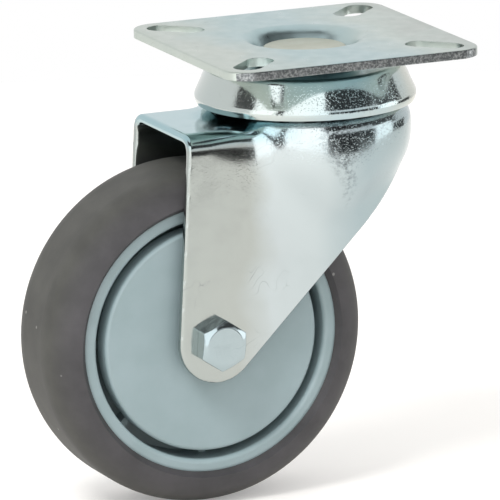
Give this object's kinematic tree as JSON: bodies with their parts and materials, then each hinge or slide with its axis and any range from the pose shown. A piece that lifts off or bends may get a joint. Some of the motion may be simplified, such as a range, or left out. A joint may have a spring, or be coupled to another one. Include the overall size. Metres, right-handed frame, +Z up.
{
  "type": "swivel castor",
  "caption": "Swivel castor with a slotted square fixing plate, a double ball race head, a pressed steel fork and a soft-tyred plastic wheel on ball bearings.",
  "frame": {"origin": "centre of the fixing plate's upper face, on the swivel axis", "axes": "+Z is up, out of the plate's upper face; the wheel trails towards -X; the axle lies along Y with the bolt's head on -Y"},
  "size_m": [0.096, 0.06, 0.1],
  "materials": {
    "zinc_plated_steel": "bright zinc plated",
    "bearing_steel": "ground and polished",
    "nylon": "moulded",
    "grey_tpe": "matt moulded",
    "grey_polypropylene": "satin moulded"
  },
  "bodies": {
    "mount": {"top_plate": "zinc_plated_steel", "king_pin": "zinc_plated_steel", "upper_race_cup": "zinc_plated_steel", "lower_race_dish": "zinc_plated_steel"},
    "fork_assembly": {"fork": "zinc_plated_steel", "axle_bolt": "zinc_plated_steel", "axle_nut": "zinc_plated_steel", "nut_insert": "nylon", "axle_tube": "zinc_plated_steel", "distance_tube": "zinc_plated_steel", "front_spacer": "zinc_plated_steel", "rear_spacer": "zinc_plated_steel", "front_bearing_inner_ring": "bearing_steel", "rear_bearing_inner_ring": "bearing_steel"},
    "wheel": {"tyre": "grey_tpe", "wheel_core": "grey_polypropylene", "front_thread_guard": "grey_polypropylene", "rear_thread_guard": "grey_polypropylene", "front_bearing_outer_ring": "bearing_steel", "rear_bearing_outer_ring": "bearing_steel", "front_bearing_inner_shield": "bearing_steel", "front_bearing_outer_shield": "bearing_steel", "rear_bearing_inner_shield": "bearing_steel", "rear_bearing_outer_shield": "bearing_steel"},
    "upper_ball_train": {"upper_ball_01": "bearing_steel", "upper_ball_02": "bearing_steel", "upper_ball_03": "bearing_steel", "upper_ball_04": "bearing_steel", "upper_ball_05": "bearing_steel", "upper_ball_06": "bearing_steel", "upper_ball_07": "bearing_steel", "upper_ball_08": "bearing_steel", "upper_ball_09": "bearing_steel", "upper_ball_10": "bearing_steel", "upper_ball_11": "bearing_steel", "upper_ball_12": "bearing_steel", "upper_ball_13": "bearing_steel", "upper_ball_14": "bearing_steel", "upper_ball_15": "bearing_steel", "upper_ball_16": "bearing_steel", "upper_ball_17": "bearing_steel", "upper_ball_18": "bearing_steel"},
    "lower_ball_train": {"lower_ball_01": "bearing_steel", "lower_ball_02": "bearing_steel", "lower_ball_03": "bearing_steel", "lower_ball_04": "bearing_steel", "lower_ball_05": "bearing_steel", "lower_ball_06": "bearing_steel", "lower_ball_07": "bearing_steel", "lower_ball_08": "bearing_steel", "lower_ball_09": "bearing_steel", "lower_ball_10": "bearing_steel", "lower_ball_11": "bearing_steel", "lower_ball_12": "bearing_steel"},
    "front_bearing_train": {"front_bearing_balls": "bearing_steel"},
    "rear_bearing_train": {"rear_bearing_balls": "bearing_steel"}
  },
  "joints": [
    {"name": "swivel", "type": "hinge", "parent": "mount", "child": "fork_assembly", "pos_m": [0, 0, 0], "axis": [0, 0, 1], "continuous": true},
    {"name": "wheel_spin", "type": "hinge", "parent": "fork_assembly", "child": "wheel", "pos_m": [-0.0285, 0, -0.0625], "axis": [0, 1, 0], "continuous": true},
    {"name": "upper_ball_orbit", "type": "hinge", "parent": "mount", "child": "upper_ball_train", "pos_m": [0, 0, 0], "axis": [0, 0, 1], "continuous": true},
    {"name": "lower_ball_orbit", "type": "hinge", "parent": "mount", "child": "lower_ball_train", "pos_m": [0, 0, 0], "axis": [0, 0, 1], "continuous": true},
    {"name": "front_bearing_orbit", "type": "hinge", "parent": "fork_assembly", "child": "front_bearing_train", "pos_m": [-0.0285, 0, -0.0625], "axis": [0, 1, 0], "continuous": true},
    {"name": "rear_bearing_orbit", "type": "hinge", "parent": "fork_assembly", "child": "rear_bearing_train", "pos_m": [-0.0285, 0, -0.0625], "axis": [0, 1, 0], "continuous": true}
  ],
  "couplings": [
    {"joint": "upper_ball_orbit", "follows": "swivel", "ratio": 0.5},
    {"joint": "lower_ball_orbit", "follows": "swivel", "ratio": 0.5},
    {"joint": "front_bearing_orbit", "follows": "wheel_spin", "ratio": 0.6323},
    {"joint": "rear_bearing_orbit", "follows": "wheel_spin", "ratio": 0.6323}
  ]
}
